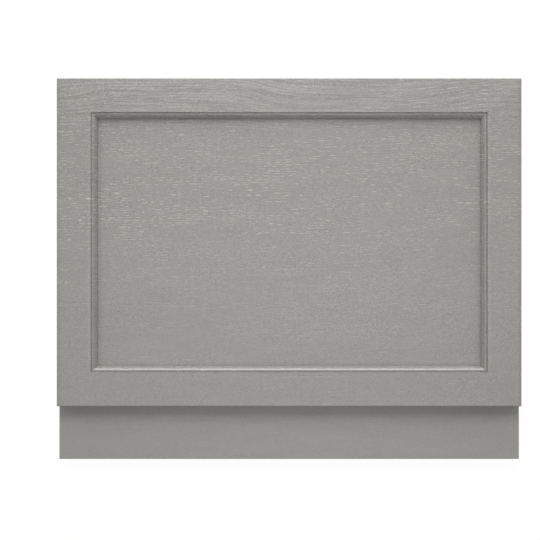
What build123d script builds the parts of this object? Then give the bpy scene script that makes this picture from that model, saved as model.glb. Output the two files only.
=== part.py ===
from build123d import *
import os

# Bath end panel: a routed board with a moulded recess, and a plinth board screwed behind its lower edge.
# It lies on its back, face up. X runs across the bath's end, Y up the panel and Z out of its face.
# The origin is on the floor, under the middle of the whole panel. All sizes are in millimetres.

# The two boards
board_width = 680.0
panel_height = 480.0
panel_thickness = 18.0
plinth_reveal = 80.0
plinth_overlap = 70.0
plinth_thickness = 18.0

# Border and routed moulding, measured in from the panel's edges and down from its face
frame_width = 50.0
quirk_width = 1.5
quirk_depth = 2.0
ovolo_width = 7.0
ovolo_height = 9.0

# Rounded front edges that the foil is wrapped over
arris_radius = 1.5

# Countersunk screws that hold the plinth to the panel's bottom rail
screw_count = 4
screw_end_margin = 85.0
screw_shank_diameter = 4.0
screw_head_diameter = 8.0
screw_clearance = 0.25
pilot_diameter = 2.5
pilot_cover = 6.0

# How far a cutter stands proud of the face that it cuts
overcut = 2.0

# Places that follow from the sizes above
total_height = panel_height + plinth_reveal
plinth_height = plinth_reveal + plinth_overlap
plinth_bottom_y = -total_height / 2
panel_bottom_y = plinth_bottom_y + plinth_reveal
panel_centre_y = panel_bottom_y + panel_height / 2
plinth_centre_y = plinth_bottom_y + plinth_height / 2
panel_back_z = plinth_thickness
panel_face_z = panel_back_z + panel_thickness

moulding_width = quirk_width + ovolo_width
recess_depth = quirk_depth + ovolo_height
field_inset = frame_width + moulding_width
field_width = board_width - 2 * field_inset
field_height = panel_height - 2 * field_inset

screw_y = panel_bottom_y + frame_width / 2
screw_pitch = (board_width - 2 * screw_end_margin) / (screw_count - 1)
pilot_depth = panel_thickness - pilot_cover


def wrapped_board(height, thickness, centre_y, back_z):
    """A board lying face up, with its front edges rounded for the foil."""
    board = Pos(0, centre_y, back_z + thickness / 2) * Box(board_width, height, thickness)
    front_edges = board.faces().sort_by(Axis.Z)[-1].edges()
    return fillet(front_edges, arris_radius)


def trough(field_span, length, middle):
    """A straight router pass of that length, its section drawn on the plane called middle: first axis across,
    second axis down into the board. Each side has a quirk, a square step down from the face, then an ovolo,
    a quarter of an oval that rolls over to the flat field."""
    field_half = field_span / 2
    opening_half = field_half + moulding_width
    with BuildSketch(middle) as section:
        with BuildLine():
            Polyline(
                (field_half, recess_depth),
                (0, recess_depth),
                (0, -overcut),
                (opening_half, -overcut),
                (opening_half, quirk_depth),
                (field_half + ovolo_width, quirk_depth),
            )
            ovolo_centre = (field_half + ovolo_width, recess_depth)
            EllipticalCenterArc(ovolo_centre, ovolo_width, ovolo_height, 180, arc_size=90)
        make_face()
        mirror(about=Plane.YZ)
    return extrude(section.sketch, amount=length / 2, both=True)


def routed_recess():
    """Two troughs that cross: what they share is the recess, with its moulding mitred at the corners."""
    face_middle = (0, panel_centre_y, panel_face_z)
    up_the_panel = Plane(origin=face_middle, x_dir=(1, 0, 0), z_dir=(0, 1, 0))
    across_the_panel = Plane(origin=face_middle, x_dir=(0, 1, 0), z_dir=(-1, 0, 0))
    return trough(field_width, panel_height, up_the_panel) & trough(field_height, board_width, across_the_panel)


def screw_places(z):
    """One place for each screw at height z, in a row along the middle of the bottom rail."""
    return Pos(0, screw_y, z) * GridLocations(screw_pitch, 0, screw_count, 1)


def panel_board():
    """The main board, with its recess in front and the screws' pilot holes in its back."""
    board = wrapped_board(panel_height, panel_thickness, panel_centre_y, panel_back_z)
    board -= routed_recess()
    pilot = Cylinder(pilot_diameter / 2, pilot_depth)
    return board - screw_places(panel_back_z + pilot_depth / 2) * pilot


def plinth_board():
    """The plain board behind the panel's lower edge, countersunk from its back for the screws."""
    board = wrapped_board(plinth_height, plinth_thickness, plinth_centre_y, 0)
    opened_from_the_back = Rotation(180, 0, 0)
    screw_hole = opened_from_the_back * CounterSinkHole(
        radius=screw_shank_diameter / 2 + screw_clearance,
        counter_sink_radius=screw_head_diameter / 2 + screw_clearance,
        depth=plinth_thickness,
        counter_sink_angle=90,
    )
    return board - screw_places(0) * screw_hole


os.makedirs("parts", exist_ok=True)
export_step(panel_board(), "parts/panel.step")
export_step(plinth_board(), "parts/plinth.step")
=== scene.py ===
# %% [markdown]
# # A bath end panel in grey woodgrain foil
# The panel closes the open end of a fitted bath. It is an 18 mm board, routed with a moulded recess and
# wrapped in a grey foil that is embossed like wood, with a plain plinth board screwed behind its lower
# edge. Here it lies on its back with its face up, and the camera looks straight down on it. X runs across
# the bath's end, Y up the panel and Z out of its face. All lengths are in metres.

# %% The frame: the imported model, and the box that it fills
import math

import bpy
import numpy as np
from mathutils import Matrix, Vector


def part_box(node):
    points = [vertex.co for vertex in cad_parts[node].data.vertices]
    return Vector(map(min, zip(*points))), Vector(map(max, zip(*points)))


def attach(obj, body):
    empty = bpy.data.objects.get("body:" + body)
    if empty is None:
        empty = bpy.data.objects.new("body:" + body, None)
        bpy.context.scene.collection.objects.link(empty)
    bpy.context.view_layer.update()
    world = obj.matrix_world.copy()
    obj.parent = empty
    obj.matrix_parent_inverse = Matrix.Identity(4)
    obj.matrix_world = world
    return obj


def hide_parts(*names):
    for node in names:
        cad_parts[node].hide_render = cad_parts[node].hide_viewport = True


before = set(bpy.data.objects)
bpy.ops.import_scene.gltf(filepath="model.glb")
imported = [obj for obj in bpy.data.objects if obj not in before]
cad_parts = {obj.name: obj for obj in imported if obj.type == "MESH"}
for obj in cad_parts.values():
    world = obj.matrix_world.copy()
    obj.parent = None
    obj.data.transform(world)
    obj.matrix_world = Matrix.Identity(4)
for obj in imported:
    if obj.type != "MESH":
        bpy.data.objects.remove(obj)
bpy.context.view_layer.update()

MM = 0.001
panel_low, panel_high = (np.array(corner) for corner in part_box("panel"))
plinth_low, plinth_high = (np.array(corner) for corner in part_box("plinth"))
print("plinth, mm:", np.round((plinth_high - plinth_low) / MM, 1))

# %% [markdown]
# ## Camera
# In the picture the plinth looks 1.15% smaller than the panel, and its face lies 18 mm deeper, so the eye
# is about 1.57 m from the panel's face. The panel's width in pixels then gives the lens. The panel stands
# right of the middle, which a lens shift does without turning the camera, so that upright edges stay
# upright.

# %% The camera, straight above the middle of the part
picture_side_px = 540
panel_width_px = 465.2
panel_middle_px = (289.15, 269.7)
eye_distance = 1.571
sensor_width_mm = 36

camera_data = bpy.data.cameras.new("camera")
camera = bpy.data.objects.new("camera", camera_data)
bpy.context.scene.collection.objects.link(camera)
bpy.context.scene.camera = camera
camera.location = (0, 0, panel_high[2] + eye_distance)
panel_width = panel_high[0] - panel_low[0]
camera_data.sensor_width = sensor_width_mm
camera_data.lens = sensor_width_mm * (panel_width_px / picture_side_px) * eye_distance / panel_width
camera_data.shift_x = 0.5 - panel_middle_px[0] / picture_side_px
camera_data.shift_y = panel_middle_px[1] / picture_side_px - 0.5
print("lens, mm:", round(camera_data.lens, 2), "shift:", round(camera_data.shift_x, 4))

# %% [markdown]
# ## Light and floor
# The picture's tones tell where its light comes from. The moulding has wide shades along its upright
# sides, a dark one at the top and hardly any at the foot, where a bright line runs along it, and the
# panel throws a soft shadow onto the plinth. So a soft sky fills the shades, more light comes from the
# top's corners than from the foot's, and a strip of lights stands beyond the top edge, here as three rows
# of small suns: the ovolo at the foot mirrors it as the bright line. A softbox close to the top edge
# makes the panel fade towards its foot, and a low strip at each side lights the upright mouldings. Far
# lights are suns with a wide or narrow disc, near ones are area lights. The white world is only a
# backdrop: it lights nothing.

# %% The backdrop and the soft lights
backdrop_radiance = 1.0
# Each far light: its side counted from the panel's top towards the right, its height above the floor, the
# width of its disc, all in degrees, and its strength
far_lights = {
    "sky": (0, 90, 170, 0.68),
    "overhead": (0, 90, 26, 0.16),
    "right_of_top": (48, 27, 30, 0.55),
    "left_of_top": (-48, 27, 30, 0.55),
    "right_of_foot": (135, 40, 20, 0.38),
    "left_of_foot": (-135, 40, 20, 0.38),
}
strip_sides = (-15, -5, 5, 15)
strip_heights = (20, 33, 46)
strip_disc = 12
strip_strength = 0.12
for side in strip_sides:
    for height in strip_heights:
        far_lights[f"strip_{side}_{height}"] = (side, height, strip_disc, strip_strength)
# Each near light: its place, the place it faces, its size and its power in watts
near_lights = {
    "softbox": ((0, 0.45, 0.5), (0, 0.1, 0), (0.9, 0.1), 0.55),
    "right_strip": ((0.9, 0.05, 0.3), (0.15, 0.05, 0.03), (0.12, 0.9), 0.6),
    "left_strip": ((-0.9, 0.05, 0.3), (-0.15, 0.05, 0.03), (0.12, 0.9), 0.6),
}
# The foil mirrors only the lights whose names begin with these words, so that it keeps its grey when it
# is seen at a low angle
mirrored_lights = ("overhead", "strip", "softbox")

scene = bpy.context.scene
scene.view_settings.view_transform = "Standard"
world = bpy.data.worlds.new("white_backdrop")
scene.world = world
world.use_nodes = True
world.node_tree.nodes["Background"].inputs["Color"].default_value = (1, 1, 1, 1)
world.node_tree.nodes["Background"].inputs["Strength"].default_value = backdrop_radiance
world.cycles_visibility.diffuse = False
world.cycles_visibility.glossy = False


def hang_light(name, kind, strength, away):
    """A light of that kind and strength in the scene, which shines against the direction called away."""
    data = bpy.data.lights.new(name, kind)
    data.energy = strength
    light = bpy.data.objects.new(name, data)
    scene.collection.objects.link(light)
    light.rotation_euler = Vector(away).to_track_quat("Z", "Y").to_euler()
    light.visible_camera = False
    light.visible_glossy = name.split("_")[0] in mirrored_lights
    return light


for name, (side, height, disc, strength) in far_lights.items():
    side, height = math.radians(side), math.radians(height)
    away = (math.sin(side) * math.cos(height), math.cos(side) * math.cos(height), math.sin(height))
    hang_light(name, "SUN", strength, away).data.angle = math.radians(disc)
for name, (place, aim, size, watts) in near_lights.items():
    light = hang_light(name, "AREA", watts, Vector(place) - Vector(aim))
    light.location = place
    light.data.shape = "RECTANGLE"
    light.data.size, light.data.size_y = size
print("lights:", len(far_lights), "far,", len(near_lights), "near")

# %% The floor: a white table that glows a little, as a light table does, so that shadows on it stay pale
floor_half = 30.0
floor_grey = 0.06
floor_glow = 0.95
floor_roughness = 0.9
floor_gloss = 0.1


def make_material(name):
    """A new material with its node tree, and the Principled shader in it."""
    material = bpy.data.materials.new(name)
    material.use_nodes = True
    return material, material.node_tree, material.node_tree.nodes["Principled BSDF"]


floor_mesh = bpy.data.meshes.new("floor")
floor_corners = [(-1, -1), (1, -1), (1, 1), (-1, 1)]
floor_mesh.from_pydata([(x * floor_half, y * floor_half, 0) for x, y in floor_corners], [], [(0, 1, 2, 3)])
floor = bpy.data.objects.new("floor", floor_mesh)
scene.collection.objects.link(floor)
floor_material, _, floor_shader = make_material("white_table")
floor_shader.inputs["Base Color"].default_value = (floor_grey, floor_grey, floor_grey, 1)
floor_shader.inputs["Roughness"].default_value = floor_roughness
floor_shader.inputs["Specular IOR Level"].default_value = floor_gloss
floor_shader.inputs["Emission Color"].default_value = (1, 1, 1, 1)
floor_shader.inputs["Emission Strength"].default_value = floor_glow
floor_mesh.materials.append(floor_material)
print("floor, m:", 2 * floor_half, "each way")

# %% [markdown]
# ## The lie of the grain
# The foil's grain runs across the whole face, over frame and recess alike, because the foil is one sheet.
# Most lines run level. In a few places they bend, as they do round a knot in sawn wood. One way is to
# paint each line; here the face gets a second coordinate instead, the lie, which is Y with some smooth
# bends added. Lines of equal lie are the grain's lines, and both the embossed relief and the finish are
# worked out from it.

# %% Smooth noise
noise_seed = 7
noise_size = 256
rng = np.random.default_rng(noise_seed)
noise_table = rng.uniform(-1, 1, (noise_size, noise_size))


def noise_at(u, v):
    """The random value of whole-numbered points, from a table that repeats both ways."""
    return noise_table[u % noise_size, v % noise_size]


def smooth_noise(u, v):
    """Value noise between -1 and 1: each whole-numbered point has a random value, and in between they are
    mixed by the smooth step t*t*(3-2t) along both axes."""
    u0 = np.floor(u).astype(int)
    v0 = np.floor(v).astype(int)
    fu = u - u0
    fv = v - v0
    fu = fu * fu * (3 - 2 * fu)
    fv = fv * fv * (3 - 2 * fv)
    lower = noise_at(u0, v0) * (1 - fu) + noise_at(u0 + 1, v0) * fu
    upper = noise_at(u0, v0 + 1) * (1 - fu) + noise_at(u0 + 1, v0 + 1) * fu
    return lower * (1 - fv) + upper * fv


print("noise table:", noise_table.shape, "mean:", round(float(noise_table.mean()), 3))

# %% The lie of the grain
# Each bend: middle x and y, how far the lines drop from left to right, over what half-length, and how far
# up and down
grain_bends_mm = [
    (-43, 258, 20, 34, 34),
    (238, 250, -17, 48, 30),
    (-300, 255, -9, 30, 26),
    (-86, -113, 22, 36, 30),
    (140, 0, -20, 130, 95),
    (-170, 90, -5, 60, 60),
    (60, 130, 6, 70, 40),
]
# The waver: its height, its length along the grain, its reach across, and where in the noise it starts
waver_height = 1.6 * MM
waver_length = 85 * MM
waver_reach = 38 * MM
waver_start = (11.3, 4.7)
lie_rounds = 10


def grain_lie(x, y):
    """The lie of the grain: y, plus for each bend half its drop times tanh of the distance along, faded
    by a bell curve up and down, plus a gentle waver."""
    waver = smooth_noise(x / waver_length + waver_start[0], y / waver_reach + waver_start[1])
    lie = y + waver_height * waver
    for bend in grain_bends_mm:
        middle_x, middle_y, drop, half_length, reach = (size * MM for size in bend)
        fade = np.exp(-(((y - middle_y) / reach) ** 2))
        lie = lie + drop / 2 * np.tanh((x - middle_x) / half_length) * fade
    return lie


def height_of_lie(x, lie):
    """The y where the grain has that lie at x. It starts from y = lie and takes off what the bends add,
    in some rounds; the bends are gentle, so each round leaves less of the error."""
    y = lie
    for _ in range(lie_rounds):
        y = lie - (grain_lie(x, y) - y)
    return y


print("bends in the grain:", len(grain_bends_mm))

# %% [markdown]
# ## The pores
# The emboss is mostly pores: short grooves along the grain, in tracks that are a few millimetres apart.
# Each has a steep wall at its lower side, which looks up the panel and glints, and a gentle slope at its
# upper side. Each track is cut into cells of its own length, and some of the cells hold a pore, more in
# some bands of the grain than in others, and more towards the panel's top. Bump alone could fake them,
# but a real wall catches the light from any side, so they are cut into the mesh.

# %% Tracks, and how deep the pores in them go
track_nearest = 2.6 * MM
track_farthest = 4.6 * MM
track_count = 200
tracks_below = 40 * MM
pore_shortest = 8 * MM
pore_longest = 24 * MM
pore_depth = 0.16 * MM
pore_wall = 0.5 * MM
pore_slope = 0.9 * MM
pore_ends = 0.3
band_length = 160 * MM
band_width = 12 * MM
band_start = (3.1, 8.8)
# How rare pores are, how soon a pore is full once a cell holds it, and how many more there are at the top;
# the painted glint in the pores is therefore stronger at the top too
pore_rarity = 0.45
pore_onset = 0.3
more_at_top = 0.5
# Columns of the noise table: a track's length of cell and its start, and the first of those for its cells
length_column = 200
start_column = 201
first_cell_column = 60
# How many cells the tracks are shifted against each other, at most
start_spread = 37

track_gaps = rng.uniform(track_nearest, track_farthest, track_count)
track_lie = panel_low[1] - tracks_below + np.cumsum(track_gaps)


def pore_bottoms(x, track):
    """How deep the bottom of the pores goes at x in a track, in metres: the depth, times 1 in a cell that
    holds a pore and 0 in one that doesn't, less towards the ends of the cell."""
    length_share = 0.5 + 0.5 * noise_at(track, length_column)
    length = pore_shortest + (pore_longest - pore_shortest) * length_share
    along = x / length + start_spread * noise_at(track, start_column)
    cell = np.floor(along).astype(int)
    along = along - cell
    band = smooth_noise(x / band_length + band_start[0], track_lie[track] / band_width + band_start[1])
    more = more_at_top * track_lie[track] / panel_high[1]
    rarity = noise_at(track, cell + first_cell_column)
    held = np.clip((band + more - pore_rarity - rarity) / pore_onset, 0, 1)
    ends = np.clip(np.minimum(along, 1 - along) / pore_ends, 0, 1)
    return pore_depth * held * ends


print("tracks:", len(track_lie), "up to y, mm:", round(track_lie[-1] / MM))

# %% [markdown]
# ## The panel's section
# From its edge inwards the board has a rounded arris, a flat frame, a small lip, a quirk (a narrow square
# step down, with a fine groove at the foot of its wall, where the foil is pressed in), an ovolo (a
# quarter round that rolls over) and the flat recessed field. All four sides share this section, and at
# the corners the sides meet in mitres. So the depth at any point depends only on its distance from the
# nearest edge, and the section can be written as a list of stations: how far in, and how deep. A profile
# swept round a frame would give the same moulding, but as a piece apart from the flats.

# %% Stations of the section
arris_radius = 1.5 * MM
frame_width = 50 * MM
lip_radius = 0.3 * MM
wall_draft = 0.04 * MM
quirk_width = 1.5 * MM
quirk_depth = 2 * MM
quirk_groove = 0.45 * MM
ovolo_width = 7 * MM
ovolo_height = 9 * MM
arris_steps = 4
lip_steps = 2
ovolo_steps = 9


def quarter_turn(steps):
    """Angles from 0 to 90 degrees in even steps."""
    return np.linspace(0, math.pi / 2, steps + 1)


def section_stations():
    """(inset, depth) of the stations that make the arris, and of those that make the moulding. The arris
    and the lip are quarter circles that start or end level with the face; the quirk's floor rises in a
    straight line from the groove to the ovolo; the ovolo is a quarter of an oval that starts level with
    the quirk's depth and ends upright at the field."""
    turn = quarter_turn(arris_steps)
    arris = np.stack([arris_radius * (1 - np.cos(turn)), arris_radius * (1 - np.sin(turn))], 1)
    turn = quarter_turn(lip_steps)
    lip = np.stack([frame_width - lip_radius * (1 - np.sin(turn)), lip_radius * (1 - np.cos(turn))], 1)
    ovolo_start = frame_width + quirk_width
    ovolo_bottom = quirk_depth + ovolo_height
    groove = [frame_width + wall_draft, quirk_depth + quirk_groove]
    quirk = np.array([groove, [ovolo_start, quirk_depth]])
    turn = quarter_turn(ovolo_steps)[1:]
    ovolo_inset = ovolo_start + ovolo_width * np.sin(turn)
    ovolo = np.stack([ovolo_inset, ovolo_bottom - ovolo_height * np.cos(turn)], 1)
    return arris, np.concatenate([lip, quirk, ovolo])


arris_stations, moulding_stations = section_stations()
station_inset, station_depth = np.concatenate([arris_stations, moulding_stations]).T
print("recess depth, mm:", round(station_depth[-1] / MM, 2))
print("field begins at, mm:", round(station_inset[-1] / MM, 2))

# %% [markdown]
# ## The panel's face as a grid
# A grid of points over the face carries the section and the pores. Lines through every station of the
# section keep the moulding crisp, and as both directions use the same stations, each mitre runs through
# the corners of cells. On the flats the rows follow the grain instead: three rows to a track, for the
# edges and the bottom of its pores. So even narrow walls are sharp, for which straight rows would have to
# be many times closer.

# %% Columns: through every station, and evenly over the flats
column_pitch = 4.4 * MM
frame_from, frame_to = arris_stations[-1, 0], moulding_stations[0, 0]
field_from = moulding_stations[-1, 0]
# Marks of the cells between two lines: the arris counts from 0, the moulding from its own first mark
FLAT = -1
MOULDING = 100
arris_cells = np.arange(len(arris_stations) - 1)
moulding_cells = MOULDING + np.arange(len(moulding_stations) - 1)


def spread(low, high):
    """Lines between low and high, without these, near the pitch."""
    return np.linspace(low, high, round((high - low) / column_pitch) + 1)[1:-1]


def flat_cells(lines):
    """Cell marks for a flat with that many lines inside it."""
    return np.full(len(lines) + 1, FLAT)


frame_lines = spread(frame_from, frame_to)
field_lines = spread(panel_low[0] + field_from, panel_high[0] - field_from)
near_lines = np.concatenate([arris_stations[:, 0], frame_lines, moulding_stations[:, 0]])
near_cells = np.concatenate([arris_cells, flat_cells(frame_lines), moulding_cells])
column_x = np.concatenate([panel_low[0] + near_lines, field_lines, panel_high[0] - near_lines[::-1]])
column_cell = np.concatenate([near_cells, flat_cells(field_lines), near_cells[::-1]])
print("columns:", len(column_x), "of them over the field:", len(field_lines))

# %% Rows: straight through the stations, and along the grain over the flats
least_step = 0.01 * MM
pore_fade = 1.5 * MM


def straight_rows(edge, inset):
    """Rows straight across at those distances from an edge: their y, and no pores."""
    y = np.repeat((edge + inset)[:, None], len(column_x), 1)
    return y, np.zeros_like(y)


def grain_rows(low, high):
    """Three rows to each track that touches the flat between low and high: their y, and the pores' depth.
    Where a track leaves the flat, its rows are held just inside it, a least step apart, and its pores run
    out before."""
    first = grain_lie(column_x, low).min() - pore_wall - pore_slope
    last = grain_lie(column_x, high).max()
    track = np.flatnonzero((track_lie > first) & (track_lie < last))
    bottoms = pore_bottoms(column_x[None, :], track[:, None])
    depth = np.stack([0 * bottoms, bottoms, 0 * bottoms], 1).reshape(-1, len(column_x))
    lie = track_lie[track][:, None] + np.array([0, pore_wall, pore_wall + pore_slope])
    y = height_of_lie(column_x[None, :], lie.reshape(-1, 1))
    depth = depth * np.clip(np.minimum(y - low, high - y) / pore_fade, 0, 1)
    steps = least_step * np.arange(1, len(y) + 1)[:, None]
    return np.clip(y, low + steps, high - steps[::-1]), depth


foot, top = panel_low[1], panel_high[1]
foot_rail = grain_rows(foot + frame_from, foot + frame_to)
field = grain_rows(foot + field_from, top - field_from)
top_rail = grain_rows(top - frame_to, top - frame_from)
row_blocks = [
    straight_rows(foot, arris_stations[:, 0]),
    foot_rail,
    straight_rows(foot, moulding_stations[:, 0]),
    field,
    straight_rows(top, -moulding_stations[::-1, 0]),
    top_rail,
    straight_rows(top, -arris_stations[::-1, 0]),
]
face_y = np.concatenate([y for y, depth in row_blocks])
pore_relief = np.concatenate([depth for y, depth in row_blocks])
foot_cells = np.concatenate([arris_cells, flat_cells(foot_rail[0]), moulding_cells])
top_cells = np.concatenate([moulding_cells[::-1], flat_cells(top_rail[0]), arris_cells[::-1]])
row_cell = np.concatenate([foot_cells, flat_cells(field[0]), top_cells])
print("grid:", len(column_x), "columns,", len(face_y), "rows")


# %% The face: depth of the section, less the pores
def edge_inset(line, low, high):
    """Distance of each line from the nearer of two opposite edges."""
    return np.minimum(line - low, high - line)


def face_heights():
    """z of every grid point: the face's height, less the section's depth at the distance to the nearest
    edge, less the pores, which run out beside the arris and the moulding."""
    inset_x = edge_inset(column_x, panel_low[0], panel_high[0])
    inset_y = edge_inset(face_y, panel_low[1], panel_high[1])
    inset = np.minimum(inset_x[None, :], inset_y)
    depth = np.interp(inset, station_inset, station_depth)
    off_arris = np.clip((inset - frame_from) / pore_fade, 0, 1)
    off_moulding = np.clip(np.maximum(frame_to - inset, inset - field_from) / pore_fade, 0, 1)
    return panel_high[2] - depth - pore_relief * off_arris * off_moulding


face_x = np.repeat(column_x[None, :], len(face_y), 0)
face_z = face_heights()
face_lie = grain_lie(face_x, face_y)
print("deepest pore, mm:", round(float(pore_relief.max()) / MM, 3))


# %% [markdown]
# ## Closing the board
# The face alone is a sheet. The board's four edges and its back close it. The edges carry the fine grid
# line of the face down to the plain corners of the back as a fan of triangles, so nothing is left open
# and the back stays one face. A Solidify modifier could give the thickness too, but it would press the
# pores and the recess through to the back.

# %% Faces of the front, and of an edge
def face_cells():
    """The face's cells, as quads, and as triangles where a cell lies on a mitre, split along the mitre.
    Also which of the quads lie on the flats."""
    number = np.arange(face_x.size).reshape(face_x.shape)
    a, b = number[:-1, :-1], number[:-1, 1:]
    d, c = number[1:, :-1], number[1:, 1:]
    on_mitre = (row_cell[:, None] == column_cell[None, :]) & (row_cell[:, None] >= 0)
    low_row = np.arange(len(row_cell))[:, None] < len(row_cell) / 2
    left_column = np.arange(len(column_cell))[None, :] < len(column_cell) / 2
    rising = on_mitre & (low_row == left_column)
    falling = on_mitre & (low_row != left_column)
    quads = np.stack([a, b, c, d], 2)[~on_mitre]
    on_flat = ((row_cell[:, None] == FLAT) & (column_cell[None, :] == FLAT))[~on_mitre]
    up = np.concatenate([np.stack([a, b, c], 2)[rising], np.stack([a, c, d], 2)[rising]])
    down = np.concatenate([np.stack([a, b, d], 2)[falling], np.stack([b, c, d], 2)[falling]])
    return quads, np.concatenate([up, down]), on_flat


def edge_fan(chain, first, last):
    """Triangles from a chain of points down to two corners: the chain's first half joins the first
    corner, its second half the last corner, and one triangle joins both."""
    middle = len(chain) // 2
    corner = np.where(np.arange(len(chain) - 1) < middle, first, last)
    fan = np.stack([corner, chain[1:], chain[:-1]], 1)
    return np.concatenate([fan, [(first, last, chain[middle])]])


quads, mitres, on_flat = face_cells()
print("front:", len(quads), "quads,", len(mitres), "triangles on the mitres")

# %% The closed board
# Edges that turn by more than this stay sharp
crease = math.radians(40)
number = np.arange(face_x.size).reshape(face_x.shape)
back_number = face_x.size + np.arange(4)
back_corners = [(panel_low[0], panel_low[1]), (panel_high[0], panel_low[1])]
back_corners += [(panel_high[0], panel_high[1]), (panel_low[0], panel_high[1])]
back_points = np.array([(x, y, panel_low[2]) for x, y in back_corners])
edge_chains = [number[0, :], number[:, -1], number[-1, ::-1], number[::-1, 0]]
fans = [edge_fan(chain, back_number[i], back_number[(i + 1) % 4]) for i, chain in enumerate(edge_chains)]

panel_points = np.concatenate([np.stack([face_x, face_y, face_z], 2).reshape(-1, 3), back_points])
panel_faces = quads.tolist() + mitres.tolist()
for fan in fans:
    panel_faces += fan.tolist()
panel_faces.append(back_number[::-1].tolist())

panel_mesh = bpy.data.meshes.new("panel_in_foil")
panel_mesh.from_pydata(panel_points, [], panel_faces)
rounded = np.ones(len(panel_faces), bool)
rounded[: len(quads)] = ~on_flat
panel_mesh.polygons.foreach_set("use_smooth", rounded)
panel_mesh.set_sharp_from_angle(angle=crease)
panel = bpy.data.objects.new("panel_in_foil", panel_mesh)
scene.collection.objects.link(panel)
print("panel:", len(panel_points), "points,", sum(len(f) - 2 for f in panel_faces), "triangles")

# %% [markdown]
# ## Where the finish lies on the mesh
# The print and the painted glints have to follow the bends of the grain, which plain coordinates don't
# know.
# So the mesh gets a map of its own, with X along the grain and the lie across it. On the board's edges the
# map runs on, down the edge, as the wrapped foil does. The pores get an attribute, so that a painted glint
# can make the colour lighter just where they are.

# %% The grain's own map: along the grain, and the lie across it
# Which way the foil runs on over each edge: foot, right, top, left
edge_ways = [(0, -1), (1, 0), (0, 1), (-1, 0)]
grain_map = panel_mesh.uv_layers.new(name="grain")
loop_point = np.empty(len(panel_mesh.loops), int)
panel_mesh.loops.foreach_get("vertex_index", loop_point)
point_lie = np.concatenate([face_lie.ravel(), back_points[:, 1]])
grain_uv = np.stack([panel_points[loop_point, 0], point_lie[loop_point]], 1)
loops_before = 4 * len(quads) + 3 * len(mitres)
for fan, way in zip(fans, edge_ways):
    loops = slice(loops_before, loops_before + 3 * len(fan))
    drop = panel_high[2] - panel_points[loop_point[loops], 2]
    grain_uv[loops] += drop[:, None] * np.array(way)
    loops_before += 3 * len(fan)
grain_map.uv.foreach_set("vector", grain_uv.astype(np.float32).ravel())
lie_span = np.array([grain_uv[:, 1].min(), grain_uv[:, 1].max()])
print("lie of the grain, from and to, mm:", np.round(lie_span / MM))

# %% The pores' own attribute: 1 at the bottom of a full pore, 0 beside it
pore_share = np.concatenate([pore_relief.ravel() / pore_depth, np.zeros(len(back_points))])
pore_attribute = panel_mesh.attributes.new("pore", "FLOAT", "POINT")
pore_attribute.data.foreach_set("value", pore_share.astype(np.float32))
print("points in a pore:", np.count_nonzero(pore_share))

# %% [markdown]
# ## The foil
# The foil is a satin vinyl, grey with a warm cast. Its emboss has two scales: the pores, which the mesh
# has, and finer fibres and specks, which are too many for a mesh and are left to bump. Over the emboss
# lies a print of flecks all over. On top of it the colour carries painted glints: the pores are painted
# lighter, short fine light dashes along the grain have flanks of painted shade, mostly in the upper field,
# and long fine light and dark lines lie in the top rail. They stand in for the relief's glint under the
# lights beyond the top edge, so they and the flecks are painted stronger towards the top. Relief this
# fine is narrower than a pixel from where the camera stands, so most of what the eye sees of the grain is
# painted in the colour. A picture of wood would be the usual way, but it repeats and blurs; noise
# stretched along the grain does neither.


# %% Helpers that build a finish from nodes
def add_node(tree, kind, **settings):
    """A new node with its settings and, by socket name, its input values."""
    node = tree.nodes.new(kind)
    inputs = settings.pop("inputs", {})
    for name, value in settings.items():
        setattr(node, name, value)
    for name, value in inputs.items():
        node.inputs[name].default_value = value
    return node


def ramp(tree, value, low, high, to_low, to_high):
    """A value from low to high turned into one from to_low to to_high, and held there outside."""
    node = add_node(tree, "ShaderNodeMapRange", inputs={"From Min": low, "From Max": high})
    node.inputs["To Min"].default_value = to_low
    node.inputs["To Max"].default_value = to_high
    tree.links.new(value, node.inputs["Value"])
    return node.outputs["Result"]


def reckon(tree, kind, *values):
    """One step of arithmetic on values that are sockets or plain numbers."""
    node = add_node(tree, "ShaderNodeMath", operation=kind)
    for socket, value in zip(node.inputs, values):
        if isinstance(value, (int, float)):
            socket.default_value = value
        else:
            tree.links.new(value, socket)
    return node.outputs["Value"]


def tinted(tree, colour, tone):
    """A colour made lighter or darker by a tone around 1."""
    node = add_node(tree, "ShaderNodeVectorMath", operation="SCALE")
    node.inputs[0].default_value = colour
    tree.links.new(tone, node.inputs["Scale"])
    return node.outputs["Vector"]


# %% Layers of noise
# Where in the noise a layer starts: off its whole-numbered planes, where the noise is faint
noise_start = (0.3, 0.6, 0.45)
# Each layer: its features' length along the grain and across it, its detail, how far to both sides of 0.5
# the noise is used, and the values that this range is turned into
foil_layers = {
    "fibres": (12 * MM, 1.4 * MM, 1.0, 0.2, 0, -0.03 * MM),
    "specks": (1.5 * MM, 1.3 * MM, 1.0, 0.3, 0, -0.08 * MM),
    "mottle": (60 * MM, 14 * MM, 3.0, 0.2, 0.975, 1.025),
    "roughness": (18 * MM, 2.5 * MM, 2.0, 0.2, 0.2, 0.25),
    "patches of flecks": (50 * MM, 35 * MM, 1.0, 0.15, 0.7, 1.2),
    "flecks": (0.8 * MM, 0.7 * MM, 0.0, 0.25, -0.24, 0.24),
    # Painted glint lines, light and dark, for the top rail
    "painted glint lines": (70 * MM, 1.5 * MM, 0.0, 0.2, -0.11, 0.11),
    "waver of the dashes": (70 * MM, 9 * MM, 1.0, 0.2, 0, 1.2),
    "bands without dashes": (110 * MM, 14 * MM, 1.0, 0.15, 0.9, 0.05),
}


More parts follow.
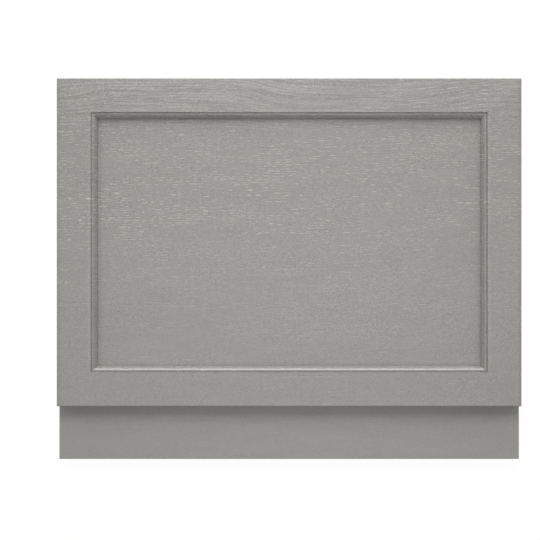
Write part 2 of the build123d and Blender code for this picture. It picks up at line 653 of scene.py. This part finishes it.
def noise_layer(tree, place, layer):
    """A layer of noise in the plane of the grain, stretched as the layer says: its value at the place."""
    along, across, detail, reach, to_low, to_high = layer
    scale = add_node(tree, "ShaderNodeMapping", inputs={"Scale": (1 / along, 1 / across, 1 / across)})
    scale.inputs["Location"].default_value = noise_start
    noise = add_node(tree, "ShaderNodeTexNoise", noise_dimensions="3D")
    noise.inputs["Scale"].default_value = 1.0
    noise.inputs["Detail"].default_value = detail
    tree.links.new(place, scale.inputs["Vector"])
    tree.links.new(scale.outputs["Vector"], noise.inputs["Vector"])
    return ramp(tree, noise.outputs["Fac"], 0.5 - reach, 0.5 + reach, to_low, to_high)


print("layers of the foil:", ", ".join(foil_layers))

# %% The painted glint dashes, with painted shade on their flanks
dash_spacing = 3.2 * MM
dash_cell = 13 * MM
# How many cells the tracks are shifted against each other, at most
track_shift = 40.0
# Across its track, which is 1 wide: where a dash's middle may lie, how far from the middle its painted
# glint turns into its flank of painted shade, how dark that painted shade is, and how far off the flank
# ends
dash_middle = (0.38, 0.62)
dash_edge = (0.1, 0.24)
# How dark the painted shade on a dash's flanks is
painted_flank_shade = -0.25
flank_end = (0.32, 0.45)
# Along its cell, which is 1 long: how long a dash may be, and how far from its ends it is faint and full
dash_length = (0.4, 0.95)
dash_ends = (0.02, 0.12)
# How soon a dash is full once its cell holds it
dash_onset = 0.15


def random_cells(tree, in_tracks, along):
    """Cuts each track into cells that start at random. Returns the place along the cell, and the node
    that holds the cell's three random numbers."""
    track = reckon(tree, "FLOOR", in_tracks)
    start = add_node(tree, "ShaderNodeTexWhiteNoise", noise_dimensions="1D")
    tree.links.new(track, start.inputs["W"])
    unshifted = reckon(tree, "DIVIDE", along, dash_cell)
    in_cells = reckon(tree, "MULTIPLY_ADD", start.outputs["Value"], track_shift, unshifted)
    cell = add_node(tree, "ShaderNodeCombineXYZ")
    tree.links.new(reckon(tree, "FLOOR", in_cells), cell.inputs["X"])
    tree.links.new(track, cell.inputs["Y"])
    draw = add_node(tree, "ShaderNodeTexWhiteNoise", noise_dimensions="2D")
    tree.links.new(cell.outputs["Vector"], draw.inputs["Vector"])
    drawn = add_node(tree, "ShaderNodeSeparateColor")
    tree.links.new(draw.outputs["Color"], drawn.inputs["Color"])
    return reckon(tree, "FRACT", in_cells), drawn


def painted_glint_dashes(tree, along, across, place):
    """1 in a painted glint dash, below 0 along its flanks of painted shade and 0 farther off. The dashes
    stand in for the glint of the grain's relief, and the flanks for its shade. The grain is cut into
    tracks, and each track into cells. A cell draws three random numbers: whether it holds a dash, where
    that lies across the track, and how long it is. Noise bends the tracks a little and makes bands with
    many dashes and bands with few."""
    waver = noise_layer(tree, place, foil_layers["waver of the dashes"])
    in_tracks = reckon(tree, "ADD", reckon(tree, "DIVIDE", across, dash_spacing), waver)
    in_cell, drawn = random_cells(tree, in_tracks, along)
    middle = ramp(tree, drawn.outputs["Green"], 0, 1, *dash_middle)
    past_middle = reckon(tree, "SUBTRACT", reckon(tree, "FRACT", in_tracks), middle)
    off_middle = reckon(tree, "ABSOLUTE", past_middle)
    glint_then_flank_shade = ramp(tree, off_middle, *dash_edge, 1, painted_flank_shade)
    beside = reckon(tree, "ADD", glint_then_flank_shade, ramp(tree, off_middle, *flank_end, 0, -painted_flank_shade))
    to_end = reckon(tree, "SUBTRACT", ramp(tree, drawn.outputs["Blue"], 0, 1, *dash_length), in_cell)
    ends = ramp(tree, reckon(tree, "MINIMUM", in_cell, to_end), *dash_ends, 0, 1)
    bare = noise_layer(tree, place, foil_layers["bands without dashes"])
    held = ramp(tree, reckon(tree, "SUBTRACT", drawn.outputs["Red"], bare), 0, dash_onset, 0, 1)
    return reckon(tree, "MULTIPLY", held, reckon(tree, "MULTIPLY", beside, ends))


print("longest dash, mm:", round(dash_cell * dash_length[1] / MM, 1))

# %% The print, and the painted glints and painted shade on it
# How light the painted glint dashes are, and how light the painted glint in the pores is
glint_dash_lightness = 0.4
painted_pore_glint = 0.16
# How bold the flecks are from the panel's foot to its top: bolder at the top is painted light
fleck_boldness_painted_light = (0.85, 1.1)
# Heights where the painted glint dashes and glint lines begin to show and where they are full, how bold
# the dashes are there, and what they lose in the top rail: the painted glint grows towards the panel's top
glint_dashes_over = (-95 * MM, 95 * MM)
glint_lines_over = (195 * MM, 235 * MM)
glint_dash_strength = (0.05, 0.9)
glint_dash_loss_in_rail = 0.4


def print_and_painted_glints(tree, place):
    """What the print and the painted glints add to the foil's tone: printed flecks in patches, painted
    bolder towards the top, painted glint dashes in bands, mostly in the upper field, painted glint lines
    in the top rail, and a painted glint in the pores."""
    part = add_node(tree, "ShaderNodeSeparateXYZ")
    tree.links.new(place, part.inputs["Vector"])
    up_panel = part.outputs["Y"]
    # The flecks are painted bolder towards the top, as the top light would bring them out
    painted_light_on_flecks = ramp(tree, up_panel, panel_low[1], panel_high[1], *fleck_boldness_painted_light)
    in_top_rail = ramp(tree, up_panel, *glint_lines_over, 0, 1)
    glint_in_upper_field = ramp(tree, up_panel, *glint_dashes_over, *glint_dash_strength)
    glint_dash_share = reckon(tree, "MULTIPLY_ADD", in_top_rail, -glint_dash_loss_in_rail, glint_in_upper_field)
    patches = noise_layer(tree, place, foil_layers["patches of flecks"])
    flecks = noise_layer(tree, place, foil_layers["flecks"])
    # Painted glint lines, light and dark, only in the top rail
    lines = noise_layer(tree, place, foil_layers["painted glint lines"])
    dashes = painted_glint_dashes(tree, part.outputs["X"], up_panel, place)
    # The pores' painted glint: the colour is made lighter where the pores are
    pore = add_node(tree, "ShaderNodeAttribute", attribute_name="pore")
    in_patches = reckon(tree, "MULTIPLY", painted_light_on_flecks, reckon(tree, "MULTIPLY", patches, flecks))
    glint_dashes_in_bands = reckon(tree, "MULTIPLY", glint_dash_share, reckon(tree, "MULTIPLY", dashes, glint_dash_lightness))
    fine = reckon(tree, "MULTIPLY_ADD", in_top_rail, lines, reckon(tree, "ADD", in_patches, glint_dashes_in_bands))
    return reckon(tree, "MULTIPLY_ADD", pore.outputs["Fac"], painted_pore_glint, fine)


# %% The foil's material, for the panel and for the plinth
foil_colour = (0.320, 0.312, 0.292)
foil_gloss = 1.0


def foil_material(name, place_of):
    """The grey foil, for a piece whose place in the grain comes from place_of(tree). The bump's height is
    in metres, so its strength and distance are 1."""
    material, tree, shader = make_material(name)
    shader.inputs["Specular IOR Level"].default_value = foil_gloss
    place = place_of(tree)
    fibres = noise_layer(tree, place, foil_layers["fibres"])
    specks = noise_layer(tree, place, foil_layers["specks"])
    bump = add_node(tree, "ShaderNodeBump", inputs={"Strength": 1.0, "Distance": 1.0})
    tree.links.new(reckon(tree, "ADD", fibres, specks), bump.inputs["Height"])
    tree.links.new(bump.outputs["Normal"], shader.inputs["Normal"])
    mottle = noise_layer(tree, place, foil_layers["mottle"])
    tone = reckon(tree, "ADD", mottle, print_and_painted_glints(tree, place))
    tree.links.new(tinted(tree, foil_colour, tone), shader.inputs["Base Color"])
    tree.links.new(noise_layer(tree, place, foil_layers["roughness"]), shader.inputs["Roughness"])
    return material


def place_on_grain_map(tree):
    """The place in the grain, from the mesh's own map."""
    return add_node(tree, "ShaderNodeUVMap", uv_map="grain").outputs["UV"]


def place_on_board(tree):
    """The place in the grain of a board whose grain runs straight along X: its own coordinates."""
    return add_node(tree, "ShaderNodeTexCoord").outputs["Object"]


foil = foil_material("grey_woodgrain_foil", place_on_grain_map)
plinth_foil = foil_material("grey_woodgrain_foil_on_plinth", place_on_board)
print("nodes in the foil:", len(foil.node_tree.nodes))

# %% [markdown]
# ## The back
# Nobody sees the back once the panel is fitted, and it has no foil. It is taken as the white melamine
# face that such board is sold with, a hard resin that is slightly cloudy. The panel's back is a face of
# its own and wears its own material. The plinth is the frame's own mesh, which stays as it is, so there
# the foil turns into melamine by height: the back is what lies at z = 0.

# %% The melamine's finish, and the panel's back
melamine_colour = (0.72, 0.715, 0.695)
melamine_layers = {
    "clouds": (35 * MM, 35 * MM, 3.0, 0.2, 0.98, 1.02),
    "fingermarks": (9 * MM, 9 * MM, 3.0, 0.2, 0.38, 0.5),
}


def melamine_finish(tree, place):
    """The melamine's colour, with faint clouds, and its roughness, which fingermarks vary."""
    clouds = noise_layer(tree, place, melamine_layers["clouds"])
    return tinted(tree, melamine_colour, clouds), noise_layer(tree, place, melamine_layers["fingermarks"])


melamine, melamine_tree, melamine_shader = make_material("white_melamine")
white, satin = melamine_finish(melamine_tree, place_on_board(melamine_tree))
melamine_tree.links.new(white, melamine_shader.inputs["Base Color"])
melamine_tree.links.new(satin, melamine_shader.inputs["Roughness"])

panel_mesh.materials.append(foil)
panel_mesh.materials.append(melamine)
material_number = np.zeros(len(panel_faces), np.int32)
material_number[-1] = 1
panel_mesh.polygons.foreach_set("material_index", material_number)
print("faces in melamine:", int(material_number.sum()))

# %% The plinth: foil, with melamine on its back
back_skin = 0.1 * MM


def mixed(tree, share, kind, first, second):
    """First where the share is 0 and second where it is 1; kind is RGBA or FLOAT."""
    node = add_node(tree, "ShaderNodeMix", data_type=kind)
    inputs = [s for s in node.inputs if s.enabled]
    for socket, value in zip(inputs, (share, first, second)):
        tree.links.new(value, socket)
    return next(s for s in node.outputs if s.enabled)


def lay_on_back(material):
    """Turns the foil into melamine on the plane z = 0."""
    tree = material.node_tree
    shader = tree.nodes["Principled BSDF"]
    place = place_on_board(tree)
    part = add_node(tree, "ShaderNodeSeparateXYZ")
    tree.links.new(place, part.inputs["Vector"])
    on_back = ramp(tree, part.outputs["Z"], back_skin / 2, back_skin, 1, 0)
    back_finish = zip(("Base Color", "Roughness"), ("RGBA", "FLOAT"), melamine_finish(tree, place))
    for name, kind, value in back_finish:
        foil_value = shader.inputs[name].links[0].from_socket
        tree.links.new(mixed(tree, on_back, kind, foil_value, value), shader.inputs[name])


lay_on_back(plinth_foil)
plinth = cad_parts["plinth"]
plinth.data.materials.clear()
plinth.data.materials.append(plinth_foil)
print("materials on the boards:", [m.name for m in (foil, plinth_foil, melamine)])

# %% [markdown]
# ## The plinth's screws
# Four countersunk steel screws go through the plinth into the panel's bottom rail, from behind. A screw
# is a turned piece, so a profile carried round an axis makes it, and the cross for the screwdriver is a
# dent in the head's grid of points. The thread is buried in the boards and is left out; beyond the plinth
# only the core is left, which the pilot hole takes.

# %% One screw: its profile, and the cross in its head
screw_sides = 48
head_rings = 12
head_sunk = 0.1 * MM
head_flat = 3.8 * MM
cross_depth = 1.8 * MM
cross_half_width = 0.75 * MM
cross_reach = 2.5 * MM
slot_side = 0.3 * MM
slot_end = 1.0 * MM
# Radius and height of the profile behind the head's flat: rim, cone, shank, core and the start of the tip
screw_profile_mm = [(4, 0.3), (1.9, 2.4), (1.9, 17.6), (1.2, 18.3), (1.2, 26)]
screw_tip = 29 * MM


def slot_share(across, along):
    """1 in the middle of a slot, falling to 0 over the width of its sloping sides and ends."""
    sides = np.clip((cross_half_width - abs(across)) / slot_side, 0, 1)
    return sides * np.clip((cross_reach - abs(along)) / slot_end, 0, 1)


def cross_dent(x, y):
    """How deep the cross is at a place in the head: its depth times the larger of two crossed slots."""
    return cross_depth * np.maximum(slot_share(x, y), slot_share(y, x))


def screw_points(middle_x, middle_y):
    """x = r cos a, y = r sin a and z of the profile's rings, from the head's flat to the core, then the
    two poles: the bottom of the cross and the tip."""
    flat = np.linspace(0, head_flat, head_rings + 1)[1:]
    head = np.stack([flat, np.full_like(flat, head_sunk)], 1)
    profile = np.concatenate([head, np.array(screw_profile_mm) * MM])
    angle = np.linspace(0, 2 * math.pi, screw_sides, endpoint=False)
    x = profile[:, :1] * np.cos(angle)
    y = profile[:, :1] * np.sin(angle)
    on_flat = np.arange(len(profile))[:, None] < len(flat)
    z = profile[:, 1:] + np.where(on_flat, cross_dent(x, y), 0)
    rings = np.stack([x + middle_x, y + middle_y, z], 2).reshape(-1, 3)
    poles = [(middle_x, middle_y, head_sunk + cross_depth), (middle_x, middle_y, screw_tip)]
    return np.concatenate([rings, poles]), len(profile)


def screw_faces(rings):
    """Quads between neighbouring rings, and a fan of triangles at each pole."""
    number = np.arange(rings * screw_sides).reshape(rings, screw_sides)
    after = np.roll(number, -1, 1)
    quads = np.stack([number[:-1], after[:-1], after[1:], number[1:]], 2).reshape(-1, 4)
    bottom = np.full(screw_sides, number.size)
    head_fan = np.stack([bottom, after[0], number[0]], 1)
    tip_fan = np.stack([number[-1], after[-1], bottom + 1], 1)
    return quads.tolist() + head_fan.tolist() + tip_fan.tolist()


print("screw's length, mm:", round((screw_tip - head_sunk) / MM, 1))

# %% Zinc on the screws
zinc_colour = (0.6, 0.6, 0.58)
zinc_layers = {
    "bloom": (2.5 * MM, 2.5 * MM, 2.0, 0.2, 0.85, 1.1),
    "roughness": (0.9 * MM, 0.9 * MM, 2.0, 0.2, 0.28, 0.42),
}
zinc, zinc_tree, zinc_shader = make_material("zinc_plated_steel")
zinc_shader.inputs["Metallic"].default_value = 1.0
zinc_place = place_on_board(zinc_tree)
bloom = noise_layer(zinc_tree, zinc_place, zinc_layers["bloom"])
zinc_tree.links.new(tinted(zinc_tree, zinc_colour, bloom), zinc_shader.inputs["Base Color"])
dull = noise_layer(zinc_tree, zinc_place, zinc_layers["roughness"])
zinc_tree.links.new(dull, zinc_shader.inputs["Roughness"])
print("nodes in the zinc:", len(zinc_tree.nodes))

# %% The row of screws
screw_count = 4
screw_end_margin = 85 * MM
screw_crease = math.radians(35)
screw_y = panel_low[1] + frame_width / 2
screw_row = np.linspace(panel_low[0] + screw_end_margin, panel_high[0] - screw_end_margin, screw_count)
for i, screw_x in enumerate(screw_row):
    points, rings = screw_points(screw_x, screw_y)
    screw_mesh = bpy.data.meshes.new(f"plinth_screw_{i + 1}")
    screw_mesh.from_pydata(points, [], screw_faces(rings))
    screw_mesh.polygons.foreach_set("use_smooth", np.ones(len(screw_mesh.polygons), bool))
    screw_mesh.set_sharp_from_angle(angle=screw_crease)
    screw_mesh.materials.append(zinc)
    screw = bpy.data.objects.new(f"plinth_screw_{i + 1}", screw_mesh)
    scene.collection.objects.link(screw)
    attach(screw, "root")
print("screws at x, mm:", np.round(screw_row / MM))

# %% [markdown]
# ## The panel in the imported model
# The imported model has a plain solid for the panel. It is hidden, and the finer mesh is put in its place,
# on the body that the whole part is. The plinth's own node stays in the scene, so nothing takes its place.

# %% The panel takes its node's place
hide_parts("panel")
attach(panel, "root")
print("the fine panel's faces:", len(panel_mesh.polygons))
